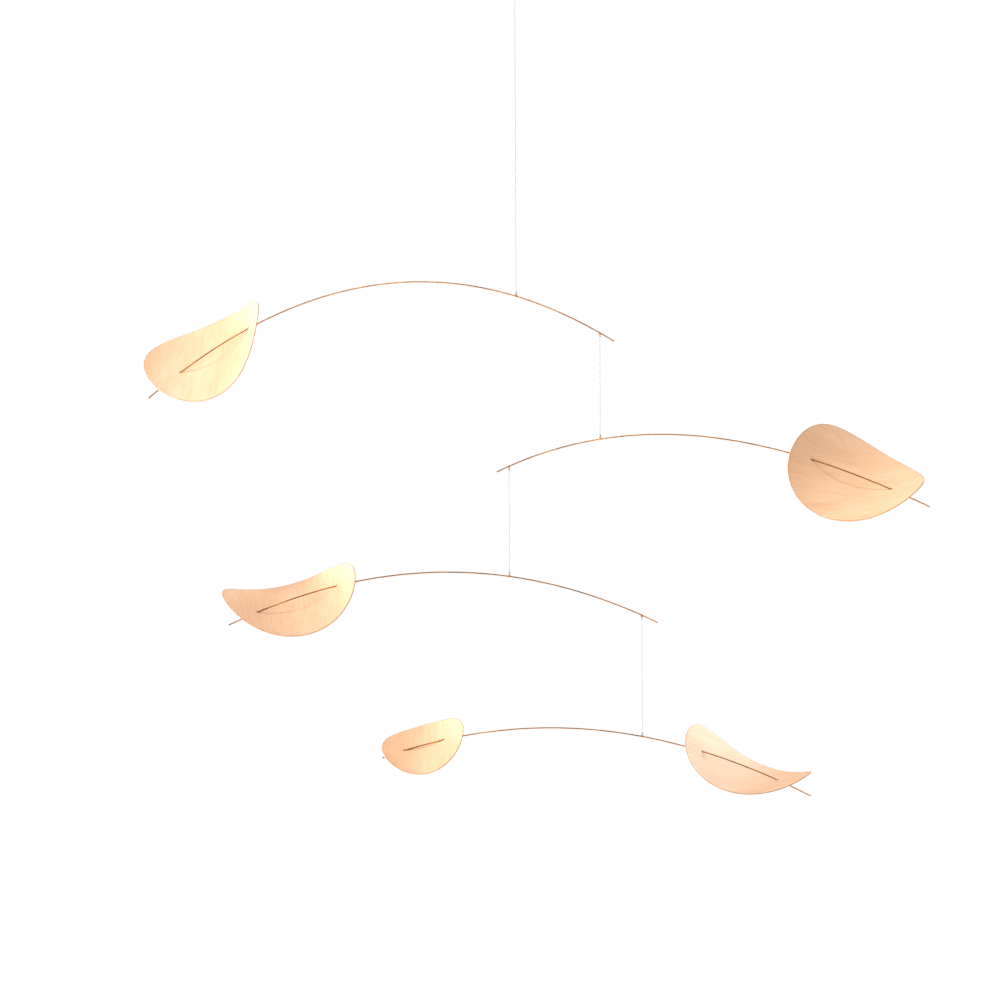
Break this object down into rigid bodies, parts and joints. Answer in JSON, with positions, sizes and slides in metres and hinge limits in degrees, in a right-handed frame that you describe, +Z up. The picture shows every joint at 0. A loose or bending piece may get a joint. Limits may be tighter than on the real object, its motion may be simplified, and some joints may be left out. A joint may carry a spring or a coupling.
{
  "type": "hanging mobile sculpture",
  "caption": "Hanging mobile: arched wire arms hung one below another on fine threads, carrying bent egg-shaped wood veneer leaves, with a thread loop at the top.",
  "frame": {"origin": "inside top of the thread loop that the mobile hangs by", "axes": "+Z up along the top thread, +X to the right and +Y away from whoever looks at the hollow sides of the leaves"},
  "size_m": [0.7443, 0.208, 0.8002],
  "materials": {
    "wire": "satin drawn wire, slightly darkened",
    "veneer": "smooth pale birch veneer with darker cut edges",
    "thread": "fine white twisted thread"
  },
  "bodies": {
    "hanger": {"hanging_loop": "thread", "thread_top": "thread"},
    "top_tier": {"arm_top": "wire", "leaf_top": "veneer", "thread_upper": "thread"},
    "upper_tier": {"arm_upper": "wire", "leaf_upper": "veneer", "thread_middle": "thread"},
    "lower_tier": {"arm_lower": "wire", "leaf_lower": "veneer", "thread_lower": "thread"},
    "bottom_tier": {"arm_bottom": "wire", "leaf_bottom": "veneer", "leaf_small": "veneer"}
  },
  "joints": [
    {"name": "top_swivel", "type": "hinge", "parent": "hanger", "child": "top_tier", "pos_m": [0, 0, -0.3155], "axis": [0, 0, 1], "continuous": true},
    {"name": "upper_swivel", "type": "hinge", "parent": "top_tier", "child": "upper_tier", "pos_m": [0.0794, -0.00975, -0.45252], "axis": [0, 0, 1], "continuous": true},
    {"name": "lower_swivel", "type": "hinge", "parent": "upper_tier", "child": "lower_tier", "pos_m": [-0.00747, 0.00714, -0.5833], "axis": [0, 0, 1], "continuous": true},
    {"name": "bottom_swivel", "type": "hinge", "parent": "lower_tier", "child": "bottom_tier", "pos_m": [0.12129, 0.04044, -0.74063], "axis": [0, 0, 1], "continuous": true}
  ]
}
